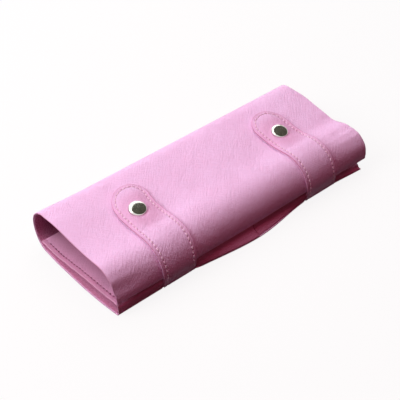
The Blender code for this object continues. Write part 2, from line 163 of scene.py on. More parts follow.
# Grids of the flat pieces: the straps' rows follow the stitches, and edges and seams get lines of their own
STRAP_ROW = STITCH_PITCH / 4
LOWER_JOIN = 11 * STRAP_ROW
TAB_JOIN = 60 * STRAP_ROW
STRETCHES = (("lower", "root", 0.0, LOWER_JOIN), ("upper", "bend", LOWER_JOIN, TAB_JOIN),
             ("tab", "tab", TAB_JOIN, STRAP_END_RUN))
SEAM_HALF = 0.0006
STRAP_INSETS = (0.0, 0.0007, 0.002, STITCH_INSET - SEAM_HALF, STITCH_INSET, STITCH_INSET + SEAM_HALF,
                0.005, 0.009, 0.013)
TIP_STEPS = 36
COLUMN_STEP = 0.004
SHELL_ROW, LINING_ROW = 0.0013, 0.002
SHELL_END_GAPS, SHELL_END = (0.0007, 0.002, 0.003, 0.004, 0.007), 0.010
FLAP_END_GAPS = (0.0007, 0.0020, FLAP_STITCH_INSET - SEAM_HALF, FLAP_STITCH_INSET,
                 FLAP_STITCH_INSET + SEAM_HALF, 0.0056)
FLAP_END = 0.009
FLAP_LINING_FOLD_ROW = 0.001
SAME_PLACE = 0.00001
SKIN_STEP = 0.0001
CUT_ANGLE = 1.0
ROUND_SHARE, ROUND_STEPS = 0.4, 3

# Snap caps
CAP_RADIUS = 0.0075
CAP_HEIGHT = 0.0037
CAP_ROLL = 0.0006
CAP_TILT = radians(8)
CAP_SQUARENESS = 3.2
CAP_OFF_MIDDLE = -0.0012
CAP_STEPS, CAP_SPOKES = 20, 72
SHANK_RADIUS = 0.0014

# Lips and inner flaps
LIP_LEATHER = 0.0012
LIP_HEIGHTS = {"left": 0.0060, "right": 0.0045}
LIP_SHARES = {"left": 1.0, "right": 0.86}
FLAP_RADIUS = 0.0045
FLAP_FACE, FLAP_LINING = 0.0009, 0.0006
FLAP_BACK_DEPTH = 0.1040
FLAP_BACK_Z = 0.0060
FLAP_SWELL_SHARE = 0.8
FLAP_LEVEL_SHARES = (0.0, 0.33, 0.46, 0.6, 0.75, 1.0)
FLAP_LEVELS_FROM_FOLD, FLAP_LEVELS_FROM_BACK = (0.0, 0.0006, -0.0003, -0.0022), (0.0004, 0.0)

# Where the leather bends: turns of the spine, front fold and straps in degrees, and places on the straps
BASE_BEND, COVER_BEND, FLAP_BEND, STRAP_BEND = (10, 78), (102, 168), (2, 60), (12, 78)
ROOT_BEND_HEIGHT = 0.009
TAB_BEND_DEPTHS = (0.037, 0.0465)


def smooth_step(share):
    share = min(max(share, 0.0), 1.0)
    return share * share * (3 - 2 * share)


def between(start, end, share):
    return start + (end - start) * share


def shares(steps):
    return [step / steps for step in range(steps + 1)]


def spread(start, end, step):
    """Even places from start to end, about one step apart."""
    count = max(1, round((end - start) / step))
    return [between(start, end, share) for share in shares(count)]


def through(places, values, place):
    """A soft curve through a few values, each held at its own place."""
    if place <= places[0]:
        return values[0]
    for index in range(1, len(places)):
        if place <= places[index]:
            share = (place - places[index - 1]) / (places[index] - places[index - 1])
            return between(values[index - 1], values[index], smooth_step(share))
    return values[-1]


def at(x, depth, z):
    """A point by its depth behind the straps' outer face."""
    return Vector((x, FRONT_Y + depth, z))


def cover_height(x, depth):
    """The cover's outer face falls from the spine to the front fold and sags on its way."""
    share = (depth - FOLD_DEPTH) / (SPINE_DEPTH - FOLD_DEPTH)
    sag = through(SAG_SHARES, SAGS, (x - LEFT_END) / (COVER_RIGHT - LEFT_END))
    if share < SAG_PEAK_SHARE:
        dip = smooth_step(share / SAG_PEAK_SHARE)
    else:
        dip = 1 - smooth_step((share - SAG_PEAK_SHARE) / (1 - SAG_PEAK_SHARE))
    rise = share + CROWN_SHARE * share * (1 - share)
    pressed = 0.0
    for side, depth_of in SNAP_DIMPLES.items():
        away = hypot(x - STRAP_X[side], depth - SNAP_DEPTH) / DIMPLE_REACH
        pressed += depth_of * (1 - smooth_step(away))
    return between(FOLD_Z + fold_height(FRONT_RADIUS, 0.0), ROLL_HEIGHT, rise) - sag * dip - pressed


def fold_height(radius, angle):
    """The height of the front fold's arc, measured from its top, where it runs out into the cover's slope."""
    if angle < SLOPE_ANGLE:
        return radius * (1 / cos(SLOPE_ANGLE) - tan(SLOPE_ANGLE) * sin(angle))
    return radius * cos(angle)


def front_bulge(x):
    """The base's front edge and the lips stand forward between the straps and are drawn in under them."""
    reach = LEFT_SPREAD if x < SPLIT_X else RIGHT_SPREAD
    bulge = FRONT_BULGE * smooth_step(1 - abs(x - SPLIT_X) / reach)
    bulge += RIGHT_END_FORWARD * right_share(x)
    for middle in STRAP_X.values():
        bulge -= TUCK_UNDER_STRAP * smooth_step((STRAP_HALF + EDGE_ROUND - abs(x - middle)) / TUCK_FADE)
    return bulge


def left_share(x):
    """1 at the roll's left end, fading to 0 before the left strap."""
    return smooth_step((LEFT_END + END_ZONE - x) / END_ZONE)


def right_share(x):
    """The same at the right end."""
    return smooth_step((x - COVER_RIGHT + END_ZONE) / END_ZONE)


def end_swell(run):
    """How far the left end of the shell stands out, from the base round to the flap."""
    if run < BASE_RUN:
        away = min(run / BASE_SWELL_RUN, 1.0)
        swell = BASE_SWELL * (1 - (1 - away) ** 2)
        return between(swell, SPINE_SWELL, smooth_step((run - SWELL_EASE_START) / SWELL_EASE_LENGTH))
    if run < SPINE_JOIN:
        eased = smooth_step((BASE_RUN - SWELL_EASE_START) / SWELL_EASE_LENGTH)
        start = between(BASE_SWELL, SPINE_SWELL, eased)
        return between(start, SPINE_SWELL, smooth_step((run - BASE_RUN) / (SPINE_JOIN - BASE_RUN)))
    return between(SPINE_SWELL, COVER_SWELL, smooth_step((run - SPINE_JOIN) / (COVER_RUN - SPINE_JOIN)))


def softness(x, run):
    """Shallow hollows and swells, as leather has that has been rolled and laid down many times."""
    return SOFTNESS * noise.noise(Vector((x, run, 0.0)) * SOFT_SCALE)


def shell_skin(x, run):
    """A point of the roll's outer face: base, spine, cover, front fold and the flap's drop."""
    shift = end_swell(run) * left_share(x)
    shift += SPINE_DRAW * right_share(x) * (1 - smooth_step(abs(run - SPINE_RUN) / SPINE_DRAW_RUN))
    soft = softness(x, run)
    if run < BASE_RUN:
        forward = front_bulge(x) * (1 - smooth_step(run / BULGE_FADE))
        return at(x - shift, SHELL_FRONT + run - forward, 0.0)
    if run < SPINE_RUN:
        angle = (run - BASE_RUN) / SPINE_RADIUS
        out = SPINE_RADIUS * sin(angle) ** SPINE_FULLNESS
        up = SPINE_RADIUS * (1 - cos(angle)) + LEFT_LIFTS[-1] * left_share(x) * smooth_step(angle / pi)
        return at(x - shift, SPINE_DEPTH + out + soft * sin(angle), up)
    along = 1 - (run - SPINE_RUN) / (COVER_RUN - SPINE_RUN)
    lift = through(LEFT_LIFT_SHARES, LEFT_LIFTS, along) * left_share(x)
    if run < COVER_RUN:
        depth = SPINE_DEPTH - (run - SPINE_RUN)
        share = (COVER_RUN - run) / (pi / 2 * FRONT_RADIUS)
        lift += fold_swell(x, -share)
        return at(x - shift, depth, cover_height(x, depth) + lift + soft)
    angle = min((run - COVER_RUN) / FRONT_RADIUS, pi / 2)
    radius = FRONT_RADIUS + fold_swell(x, angle / (pi / 2)) + soft
    out, up = radius * sin(angle), fold_height(radius, angle)
    drop = max(run - FOLD_RUN, 0.0) / FLAP_DROP * (FLAP_DROP + edge_drop(x))
    fade = 1 - smooth_step(angle / (pi / 2))
    return at(x - shift, FOLD_DEPTH - out, FOLD_Z + up + lift * fade - drop)


def fold_swell(x, share):
    """The front fold is slimmer at the left end, and fuller at the right end, than between the straps."""
    left = through(FOLD_ANGLE_SHARES, LEFT_FOLD_SWELLS, share)
    right = through(FOLD_ANGLE_SHARES, RIGHT_FOLD_SWELLS, share)
    return left * left_share(x) + right * right_share(x)


def edge_drop(x):
    """How far the flap's lower edge hangs below an even line."""
    return through(EDGE_DROP_SHARES, EDGE_DROPS, (x - LEFT_END) / (COVER_RIGHT - LEFT_END))


def strap_lift(across, depth):
    """How far the strap lies over the cover: held up at the snap, draped low at its sides, fold and tip."""
    up = smooth_step((depth - RAMP_START_DEPTH) / RAMP_LENGTH)
    snap_end = SNAP_DEPTH + CAP_RADIUS
    down = smooth_step((depth - snap_end) / (STRAP_END_DEPTH - snap_end))
    middle = between(between(HUG_GAP, SNAP_LIFT, up), TIP_LIFT, down)
    drape = smooth_step((abs(across - CAP_OFF_MIDDLE) - DRAPE_START) / DRAPE_WIDTH)
    return between(middle, min(EDGE_LIFT, middle), drape)


def strap_skin(side):
    """The strap's outer face: up the front, round the fold and over the cover to its tip."""
    middle = STRAP_X[side]

    def skin(across, run):
        if side == "left" and across > 0.0:
            across -= LEFT_STRAP_TAPER * across / STRAP_HALF * (1 - smooth_step(run / TAPER_RUN))
        if run < STRAP_RISE_RUN:
            tuck = between(STRAP_TUCK, STRAP_SET_BACK, smooth_step(run / STRAP_RISE_RUN))
            return at(middle + across, tuck, run)
        if run < STRAP_TOP_RUN:
            angle = (run - STRAP_RISE_RUN) / STRAP_RADIUS
            depth = FOLD_DEPTH - STRAP_RADIUS * cos(angle)
            return at(middle + across, depth, FOLD_Z + fold_height(STRAP_RADIUS, pi / 2 - angle))
        depth = FOLD_DEPTH + run - STRAP_TOP_RUN
        skew = TAB_SKEWS[side] * smooth_step((depth - SNAP_DEPTH) / (STRAP_END_DEPTH - SNAP_DEPTH))
        lift = max(strap_lift(across, depth) + STRAP_THICK, STRAP_RADIUS - FRONT_RADIUS)
        x = middle + across
        return at(x + skew, depth, cover_height(x, depth) + lift)

    return skin


def flap_skin(side):
    """A lip and its inner flap: up the front, round a small fold and back over the base.

    With the skin come the runs at which the lip, the fold and the flap end.
    """
    height, share = LIP_HEIGHTS[side], LIP_SHARES[side]
    rise = height - PLY_REACH
    fold_run = rise + pi / 2 * FLAP_RADIUS
    top = height + FLAP_RADIUS
    back = FLAP_BACK_DEPTH - SHELL_FRONT - FLAP_RADIUS
    levels = [top + above for above in FLAP_LEVELS_FROM_FOLD]
    levels += [FLAP_BACK_Z + above for above in FLAP_LEVELS_FROM_BACK]

    def flatter(x, z):
        return PLY_REACH + (z - PLY_REACH) * (1 - RIGHT_END_SQUASH * right_share(x))

    def skin(x, run):
        if run < rise:
            pushed = share * cos(pi / 2 * run / rise) ** 2
            return at(x, SHELL_FRONT - front_bulge(x) * pushed, flatter(x, PLY_REACH + run))
        if run < fold_run:
            angle = (run - rise) / FLAP_RADIUS
            depth = SHELL_FRONT + FLAP_RADIUS * (1 - cos(angle))
            return at(x, depth, flatter(x, height + FLAP_RADIUS * sin(angle)))
        away = run - fold_run
        z = through(FLAP_LEVEL_SHARES, levels, away / back)
        shift = FLAP_SWELL_SHARE * end_swell(away) * left_share(x)
        return at(x - shift, SHELL_FRONT + FLAP_RADIUS + away, flatter(x, z))

    return skin, rise, fold_run, fold_run + back


def on_skin(skin, outward, across, run, height):
    """A point of a laid piece, with its two directions on the skin and the way out of it."""
    along_x = skin(across + SKIN_STEP, run) - skin(across - SKIN_STEP, run)
    along_run = skin(across, run + SKIN_STEP) - skin(across, run - SKIN_STEP)
    normal = along_x.cross(along_run).normalized() * outward
    return skin(across, run) + normal * height, along_x.normalized(), along_run.normalized(), normal


def flat_grid(columns, rows, place):
    """A flat grid whose points lie where place puts their column and row."""
    bm = bmesh.new()
    bmesh.ops.create_grid(bm, x_segments=columns - 1, y_segments=rows - 1, size=1.0)
    for vert in bm.verts:
        column = round((vert.co.x + 1) / 2 * (columns - 1))
        row = round((vert.co.y + 1) / 2 * (rows - 1))
        vert.co = place(column, row)
    return bm


def flat_strip(across, along):
    """A flat grid cut at the given places across and along."""
    return flat_grid(len(across), len(along), lambda column, row: (across[column], along[row], 0.0))


def flat_tab(insets, start):
    """The strap's end, cut as lines that run up one side, round the half-round tip and down again."""
    side = spread(start, SHOULDER_RUN, STRAP_ROW)
    turns = [pi * share for share in shares(TIP_STEPS)][1:-1]
    path = [(-1.0, 0.0, run) for run in side]
    path += [(-cos(turn), sin(turn), SHOULDER_RUN) for turn in turns]
    path += [(1.0, 0.0, run) for run in reversed(side)]

    def place(column, row):
        aside, ahead, run = path[column]
        reach = STRAP_HALF - insets[row]
        return aside * reach, run + ahead * reach, 0.0

    bm = flat_grid(len(path), len(insets), place)
    bmesh.ops.remove_doubles(bm, verts=bm.verts, dist=SAME_PLACE)
    return bm


def thicken(bm, thick, joins):
    """Gives a flat piece its thickness downwards and rounds its free edges, not the ends where it goes on."""
    made = bmesh.ops.extrude_face_region(bm, geom=bm.faces[:])
    lower = [item for item in made["geom"] if isinstance(item, bmesh.types.BMVert)]
    bmesh.ops.translate(bm, verts=lower, vec=(0.0, 0.0, -thick))
    bmesh.ops.recalc_face_normals(bm, faces=bm.faces)
    free = []
    for edge in bm.edges:
        start, end = (vert.co.y for vert in edge.verts)
        joined = start == end and any(abs(start - join) < SAME_PLACE for join in joins)
        if not joined and edge.calc_face_angle(0.0) > CUT_ANGLE:
            free.append(edge)
    bmesh.ops.bevel(bm, geom=free, offset=min(EDGE_ROUND, thick * ROUND_SHARE), offset_type="OFFSET",
                    segments=ROUND_STEPS, profile=0.5, affect="EDGES", material=-1, clamp_overlap=True)


def lay(name, bm, skin, outward, edge_of, look, height=0.0, sewn=None):
    """Lays a flat piece on its skin. Its two maps keep the flat lengths and the way to the free edge."""
    flat = bm.loops.layers.uv.new("flat")
    edge = bm.loops.layers.uv.new("edge")
    for face in bm.faces:
        for loop in face.loops:
            place = loop.vert.co
            loop[flat].uv = (place.x + place.z, place.y)
            loop[edge].uv = edge_of(place.x, place.y)
    for vert in bm.verts:
        across, run, inward = vert.co
        on_face = inward > -EDGE_ROUND
        pressed = sewn(*edge_of(across, run)) if sewn is not None and on_face else 0.0
        vert.co = on_skin(skin, outward, across, run, height + inward - pressed)[0]
    bmesh.ops.recalc_face_normals(bm, faces=bm.faces)
    return as_piece(name, bm, look)


def as_piece(name, bm, look):
    """A finished mesh becomes a piece of the scene, with its look."""
    data = bpy.data.meshes.new(name)
    bm.to_mesh(data)
    bm.free()
    data.shade_smooth()
    data.set_sharp_from_angle(angle=SHARP_ANGLE)
    data.materials.append(look)
    piece = bpy.data.objects.new(name, data)
    bpy.context.scene.collection.objects.link(piece)
    return piece


def press(inset):
    """The thread draws the leather down in a shallow channel, and deeper at each of its holes."""
    def pressed(from_edge, run):
        off = abs(from_edge - inset) / CHANNEL_HALF
        phase = abs((run / STITCH_PITCH + 0.5) % 1.0 - 0.5) / HOLE_LENGTH_SHARE
        return CHANNEL_PRESS * (1 - smooth_step(off)) + HOLE_PRESS * (1 - smooth_step(hypot(off, phase)))
    return pressed


def sew(name, places, skin, outward, look, height=0.0, reach=STITCH_REACH):
    """A row of stitches, each a short length of thread that dips into its holes at both ends."""
    bm = bmesh.new()
    for across, run, turn in places:
        middle, along_x, along_run, normal = on_skin(skin, outward, across, run, height)
        ahead = (along_x * cos(turn) + along_run * sin(turn)).normalized()
        beside = normal.cross(ahead)
        size = (STITCH_PITCH * reach, THREAD_RADIUS, THREAD_RADIUS)
        axes = [axis * length for axis, length in zip((ahead, beside, normal), size)]
        turned = Matrix([(*row, place) for row, place in zip(zip(*axes), middle)] + [(0, 0, 0, 1)])
        bmesh.ops.create_uvsphere(bm, u_segments=THREAD_SEGMENTS, v_segments=THREAD_RINGS, radius=1.0,
                                  matrix=turned @ ON_SIDE)
    bmesh.ops.recalc_face_normals(bm, faces=bm.faces)
    return as_piece(name, bm, look)


def hang(piece, zone, slot, *nodes):
    """The piece keeps its place as laid and hides the solids that it stands for. Its zone is only looked up,
    and its slot is not used.
    """
    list(ZONES[zone])
    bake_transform(piece)
    if nodes:
        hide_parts(*nodes)
    return piece


def fold_zones():
    """For each fold, the two bodies and the two points between which the leather turns."""
    def spine(degrees):
        return shell_skin(SPLIT_X, BASE_RUN + radians(degrees) * SPINE_RADIUS)

    def front(degrees):
        return shell_skin(SPLIT_X, COVER_RUN + radians(degrees) * FRONT_RADIUS)

    zones = {
        "base_spine": ("base", "spine", *map(spine, BASE_BEND)),
        "spine_cover": ("spine", "cover", *map(spine, COVER_BEND)),
        "cover_flap": ("cover", "front_flap", *map(front, FLAP_BEND)),
    }
    for side, height in LIP_HEIGHTS.items():
        end = at(0.0, SHELL_FRONT + FLAP_RADIUS, height + FLAP_RADIUS)
        zones[f"inner_{side}"] = ("base", f"inner_flap_{side}", at(0.0, SHELL_FRONT, PLY_REACH), end)
        skin = strap_skin(side)
        lower, upper, tab = (f"strap_{side}_{stretch}" for stretch, *_ in STRETCHES)
        zones[f"{side}_root"] = ("base", lower, at(0.0, 0.0, 0.0), at(0.0, 0.0, ROOT_BEND_HEIGHT))
        arc = [skin(0.0, STRAP_RISE_RUN + radians(degrees) * STRAP_RADIUS) for degrees in STRAP_BEND]
        zones[f"{side}_bend"] = (lower, upper, *arc)
        turn = [skin(0.0, STRAP_TOP_RUN + depth - FOLD_DEPTH) for depth in TAB_BEND_DEPTHS]
        zones[f"{side}_tab"] = (upper, tab, *turn)
    return zones


ZONES = fold_zones()

# Tones
PINK, PINK_DEEP, PINK_RIM = (0.885, 0.648, 0.935), (0.70, 0.28, 0.50), (0.74, 0.38, 0.60)
# The strap's cut edge: darker in its own colour, with painted shadow along it
STRAP_RIM_AND_SHADOW = (0.58, 0.24, 0.42)
# A shaded copy of the pink leather: painted shade for the lips, the inner flaps and the straps' backing
SHADED_PINK, SHADED_PINK_DEEP, SHADED_PINK_RIM = (0.86, 0.43, 0.68), (0.62, 0.24, 0.42), (0.86, 0.54, 0.74)
ROSE, ROSE_DEEP = (0.80, 0.36, 0.58), (0.46, 0.09, 0.22)
# Deep rose of the inner thread, and the painted shade of the lining inside the roll
DARK_ROSE = (0.20, 0.03, 0.09)
# Painted shade: the deep tone of the lip between the straps and of the inner leather inside the roll
PAINTED_SHADE_TONE = (0.44, 0.15, 0.25)
# Painted shade in the needle holes
HOLE_SHADE = (0.42, 0.12, 0.24)
THREAD, THREAD_DEEP = (0.95, 0.74, 0.88), (0.82, 0.52, 0.70)
NICKEL, NICKEL_DEEP = (0.74, 0.73, 0.68), (0.60, 0.59, 0.53)
STEEL, STEEL_DEEP = (0.56, 0.56, 0.55), (0.40, 0.40, 0.39)
WHITE, BLACK = (1.0, 1.0, 1.0), (0.0, 0.0, 0.0)

# Grain, wear and painted shade. A share says how far the deeper tone comes through, a reach where that begins
# and ends
GRAIN_PITCH, GRAIN_DEPTH, INNER_GRAIN_DEPTH = 0.0014, 0.00024, 0.00018
CREASE_STRETCH = 0.09
TONE_SHARE, GROOVE_SHARE = 0.13, 0.11
RIM_REACH = (0.00005, 0.0007)
# The strap's leather is darker round its snap
SNAP_DARK_REACH, SNAP_DARK_SHARE = (0.012, 0.026), 0.35
# Painted shade on the lip between the straps, under the flap's edge
LIP_SHADE_REACH, LIP_SHADE_SHARE, LIP_SHADE_FADE = (0.052, 0.085), 0.62, 0.004
# Painted shade inside the roll, away from its open ends
LEATHER_SHADE_REACH, CLOTH_SHADE_REACH, SHADE_SHARE = (0.004, 0.018), (0.002, 0.013), 0.62
# Painted shade in a band along the sewn edge
SEAM_SHADE_REACH, SEAM_SHADE_SHARE = (0.0012, 0.0044), 0.24
# The needle holes' painted shade, and the row's pressed line
HOLE_SHADE_REACH, ROW_REACH = (0.00035, 0.0008), (0.0003, 0.0011)
HOLE_SHADE_SHARE, ROW_PRESS = 0.5, 0.3
GROOVE_ROUGHNESS = 0.12
LEATHER_SHINE, CLOTH_SHINE, CLOTH_SHEEN = 0.03, 0.06, 0.12
CLOTH_TONE_SHARE, NAP_SHARE = 0.4, 0.7


def new_material(name):
    made = bpy.data.materials.new(name)
    made.use_nodes = True
    tree = made.node_tree
    return made, tree, tree.nodes["Principled BSDF"]


def node(tree, kind, **settings):
    """A node with its settings, and its inputs given by name or number as values or links."""
    made = tree.nodes.new(kind)
    inputs = settings.pop("inputs", {})
    for key, value in settings.items():
        setattr(made, key, value)
    for key, value in inputs.items():
        if isinstance(value, bpy.types.NodeSocket):
            tree.links.new(value, made.inputs[key])
        else:
            made.inputs[key].default_value = value
    return made


def maths(tree, operation, first, second=0.0):
    return node(tree, "ShaderNodeMath", operation=operation, inputs={0: first, 1: second}).outputs[0]


def ramp(tree, value, low, high, start=0.0, end=1.0):
    made = node(tree, "ShaderNodeMapRange", interpolation_type="SMOOTHSTEP", inputs={
        "Value": value, "From Min": low, "From Max": high, "To Min": start, "To Max": end})
    return made.outputs["Result"]


def mix(tree, share, first, second):
    """From the first colour to the second. The node's sockets share their names, so they go by number."""
    first, second = ((*colour, 1.0) if isinstance(colour, tuple) else colour for colour in (first, second))
    made = node(tree, "ShaderNodeMix", data_type="RGBA", inputs={0: share, 6: first, 7: second})
    return made.outputs[2]


def maps(tree):
    """A laid piece's two maps: its flat lengths, and the way to its free edge."""
    return [node(tree, "ShaderNodeUVMap", uv_map=name).outputs["UV"] for name in ("flat", "edge")]


def way_in(tree, edge):
    """The way in from the free edge, out of the edge map."""
    return node(tree, "ShaderNodeSeparateXYZ", inputs={0: edge}).outputs["X"]


def finish_look(tree, shader, colour, roughness, height, strength, distance):
    """The shader takes its colour, its roughness and its relief."""
    bump = node(tree, "ShaderNodeBump", inputs={"Strength": strength, "Distance": distance, "Height": height})
    tree.links.new(colour, shader.inputs["Base Color"])
    tree.links.new(roughness, shader.inputs["Roughness"])
    tree.links.new(bump.outputs["Normal"], shader.inputs["Normal"])


def effect(name, inputs, outputs):
    """An empty shader group with named inputs and outputs, each given as its kind of socket."""
    made = bpy.data.node_groups.new(name, "ShaderNodeTree")
    for label, kind in inputs.items():
        made.interface.new_socket(label, in_out="INPUT", socket_type=f"NodeSocket{kind}")
    for label, kind in outputs.items():
        made.interface.new_socket(label, in_out="OUTPUT", socket_type=f"NodeSocket{kind}")
    return made, made.nodes.new("NodeGroupInput").outputs, made.nodes.new("NodeGroupOutput").inputs


def cross_grain_effect():
    """Fine crossing creases pressed into the leather on its two slants, fading in and out."""
    made, given, out = effect("cross_grain", {"Place": "Vector", "Pitch": "Float"},
                              {"Height": "Float", "Groove": "Float"})
    apart = node(made, "ShaderNodeSeparateXYZ", inputs={0: given["Place"]})
    across, along = apart.outputs["X"], apart.outputs["Y"]
    slants = [maths(made, "DIVIDE", maths(made, way, across, along), given["Pitch"])
              for way in ("ADD", "SUBTRACT")]
    creases = []
    for fine, slow in (slants, reversed(slants)):
        slow = maths(made, "MULTIPLY", slow, CREASE_STRETCH)
        stretched = node(made, "ShaderNodeCombineXYZ", inputs={0: fine, 1: slow})
        streaks = node(made, "ShaderNodeTexNoise", inputs={"Vector": stretched.outputs[0], "Scale": 1.0,
                                                           "Detail": 2.5, "Roughness": 0.6})
        creases.append(ramp(made, streaks.outputs["Fac"], 0.43, 0.57))
    ridge = maths(made, "MULTIPLY", maths(made, "ADD", *creases), 0.5)
    patch = node(made, "ShaderNodeTexNoise", inputs={"Vector": given["Place"], "Scale": 70.0, "Detail": 2.0})
    strength = ramp(made, patch.outputs["Fac"], 0.30, 0.62, 0.65, 1.0)
    made.links.new(maths(made, "MULTIPLY", ridge, strength), out["Height"])
    made.links.new(maths(made, "MULTIPLY", maths(made, "SUBTRACT", 1.0, ridge), strength), out["Groove"])
    return made


def wear_effect():
    """Slow changes of tone over a piece, and a band along its cut edge."""
    made, given, out = effect("handling", {"Place": "Vector", "Edge": "Vector"},
                              {"Tone": "Float", "Rim": "Float"})
    slow = node(made, "ShaderNodeTexNoise", inputs={"Vector": given["Place"], "Scale": 22.0, "Detail": 3.0})
    fine = node(made, "ShaderNodeTexNoise", inputs={"Vector": given["Place"], "Scale": 420.0, "Detail": 4.0})
    both = maths(made, "ADD", maths(made, "MULTIPLY", slow.outputs["Fac"], 0.7),
                 maths(made, "MULTIPLY", fine.outputs["Fac"], 0.3))
    made.links.new(ramp(made, both, 0.3, 0.7), out["Tone"])
    made.links.new(ramp(made, way_in(made, given["Edge"]), *RIM_REACH, 1.0, 0.0), out["Rim"])
    return made


def holes_effect():
    """Where the needle holes of one row of stitches lie, a set way in from the edge; the holes get painted
    shade.
    """
    made, given, out = effect("needle_holes", {"Edge": "Vector", "Inset": "Float", "Pitch": "Float"},
                              {"Hole_shade": "Float", "Row": "Float"})
    apart = node(made, "ShaderNodeSeparateXYZ", inputs={0: given["Edge"]})
    off = maths(made, "ABSOLUTE", maths(made, "SUBTRACT", apart.outputs["X"], given["Inset"]))
    turns = maths(made, "ADD", maths(made, "DIVIDE", apart.outputs["Y"], given["Pitch"]), 0.5)
    phase = maths(made, "ABSOLUTE", maths(made, "SUBTRACT", maths(made, "FRACT", turns), 0.5))
    along = maths(made, "MULTIPLY", phase, given["Pitch"])
    squares = [maths(made, "POWER", way, 2.0) for way in (off, along)]
    away = maths(made, "SQRT", maths(made, "ADD", *squares))
    made.links.new(ramp(made, away, *HOLE_SHADE_REACH, 1.0, 0.0), out["Hole_shade"])
    made.links.new(ramp(made, off, *ROW_REACH, 1.0, 0.0), out["Row"])
    return made


EFFECTS = {"cross_grain": cross_grain_effect(), "handling": wear_effect(), "needle_holes": holes_effect()}


def place_effect(tree, name, **inputs):
    """A shared effect put into a material, with its inputs given by their names in small letters."""
    return node(tree, "ShaderNodeGroup", node_tree=EFFECTS[name],
                inputs={key.capitalize(): value for key, value in inputs.items()}).outputs


def painted_inner_shade(tree, edge, reach):
    """Painted shade: inside the roll, away from its open ends, the leather and the cloth are painted darker.
    """
    return ramp(tree, way_in(tree, edge), *reach, 0.0, SHADE_SHARE)


def leather(name, light, deep, rim, roughness, inset=None, darker_round=None, lip_shade_top=None, depth=GRAIN_DEPTH):
    """Cross-grained leather, deeper in tone in its grooves, with painted shade along its seam.

    Inset is the way from the edge to a row of stitches; the next argument is the run round which the leather
    is darker, and the one after it the run up to which the lip is painted in shade between the straps, which
    also paints shade inside the roll, away from its open ends.
    """
    made, tree, shader = new_material(name)
    flat, edge = maps(tree)
    grain = place_effect(tree, "cross_grain", place=flat, pitch=GRAIN_PITCH)
    wear = place_effect(tree, "handling", place=flat, edge=edge)
    body = mix(tree, maths(tree, "MULTIPLY", wear["Tone"], TONE_SHARE), light, deep)
    toned = mix(tree, maths(tree, "MULTIPLY", grain["Groove"], GROOVE_SHARE), body, deep)
    # The strap is darker round its snap
    if darker_round is not None:
        apart = node(tree, "ShaderNodeVectorMath", operation="DISTANCE",
                     inputs={0: flat, 1: (0.0, darker_round, 0.0)})
        near = ramp(tree, apart.outputs["Value"], *SNAP_DARK_REACH, SNAP_DARK_SHARE, 0.0)
        toned = mix(tree, near, toned, deep)
    # Painted shade on the lip between the straps, where the flap overhangs it
    if lip_shade_top is not None:
        where = node(tree, "ShaderNodeSeparateXYZ", inputs={0: flat}).outputs
        beside = maths(tree, "ABSOLUTE", maths(tree, "SUBTRACT", where["X"], SPLIT_X))
        lip_shade = maths(tree, "MULTIPLY", ramp(tree, beside, *LIP_SHADE_REACH, LIP_SHADE_SHARE, 0.0),
                        ramp(tree, where["Y"], lip_shade_top, lip_shade_top + LIP_SHADE_FADE, 1.0, 0.0))
        toned = mix(tree, lip_shade, toned, PAINTED_SHADE_TONE)
        # Painted shade inside the roll, away from its open ends
        toned = mix(tree, painted_inner_shade(tree, edge, LEATHER_SHADE_REACH), toned, PAINTED_SHADE_TONE)
    colour = mix(tree, wear["Rim"], toned, rim)
    height = grain["Height"]
    if inset is not None:
        # Painted shade in a band along the sewn edge, outside the stitches
        colour = mix(tree, ramp(tree, way_in(tree, edge), *SEAM_SHADE_REACH, SEAM_SHADE_SHARE, 0.0), colour, deep)
        holes = place_effect(tree, "needle_holes", edge=edge, inset=inset, pitch=STITCH_PITCH)
        # Needle holes painted dark, as shade in them
        colour = mix(tree, maths(tree, "MULTIPLY", holes["Hole_shade"], HOLE_SHADE_SHARE), colour, HOLE_SHADE)
        height = maths(tree, "SUBTRACT", height, maths(tree, "MULTIPLY", holes["Row"], ROW_PRESS))
    dulled = ramp(tree, grain["Height"], 0.1, 0.8, roughness + GROOVE_ROUGHNESS, roughness)
    finish_look(tree, shader, colour, dulled, height, strength=1.0, distance=depth)
    shader.inputs["Specular IOR Level"].default_value = LEATHER_SHINE
    return made


def cloth(name, light, deep):
    """Short soft nap, brushed in patches."""
    made, tree, shader = new_material(name)
    flat, edge = maps(tree)
    wear = place_effect(tree, "handling", place=flat, edge=edge)
    hairs = node(tree, "ShaderNodeTexNoise", inputs={"Vector": flat, "Scale": 900.0, "Detail": 4.0})
    nap = hairs.outputs["Fac"]
    body = mix(tree, maths(tree, "MULTIPLY", wear["Tone"], CLOTH_TONE_SHARE), light, deep)
    brushed = mix(tree, ramp(tree, nap, 0.40, 0.66, 0.0, NAP_SHARE), body, deep)
    # Painted shade: the lining is darker inside the roll, away from its open ends
    colour = mix(tree, painted_inner_shade(tree, edge, CLOTH_SHADE_REACH), brushed, DARK_ROSE)
    dulled = ramp(tree, nap, 0.3, 0.7, 0.8, 0.95)
    finish_look(tree, shader, colour, dulled, nap, strength=0.5, distance=0.0002)
    shader.inputs["Sheen Weight"].default_value = CLOTH_SHEEN
    shader.inputs["Specular IOR Level"].default_value = CLOTH_SHINE
    return made


def thread(name, light, deep):
    """Waxed polyester thread with its twist."""
    made, tree, shader = new_material(name)
    place = node(tree, "ShaderNodeTexCoord").outputs["Object"]
    waves = node(tree, "ShaderNodeTexWave", wave_type="BANDS", bands_direction="DIAGONAL",
                 inputs={"Vector": place, "Scale": 900.0, "Distortion": 1.5, "Detail": 1.0})
    twist = waves.outputs["Fac"]
    colour = mix(tree, twist, deep, light)
    dulled = ramp(tree, twist, 0.0, 1.0, 0.55, 0.4)
    finish_look(tree, shader, colour, dulled, twist, strength=0.4, distance=0.0001)
    return made


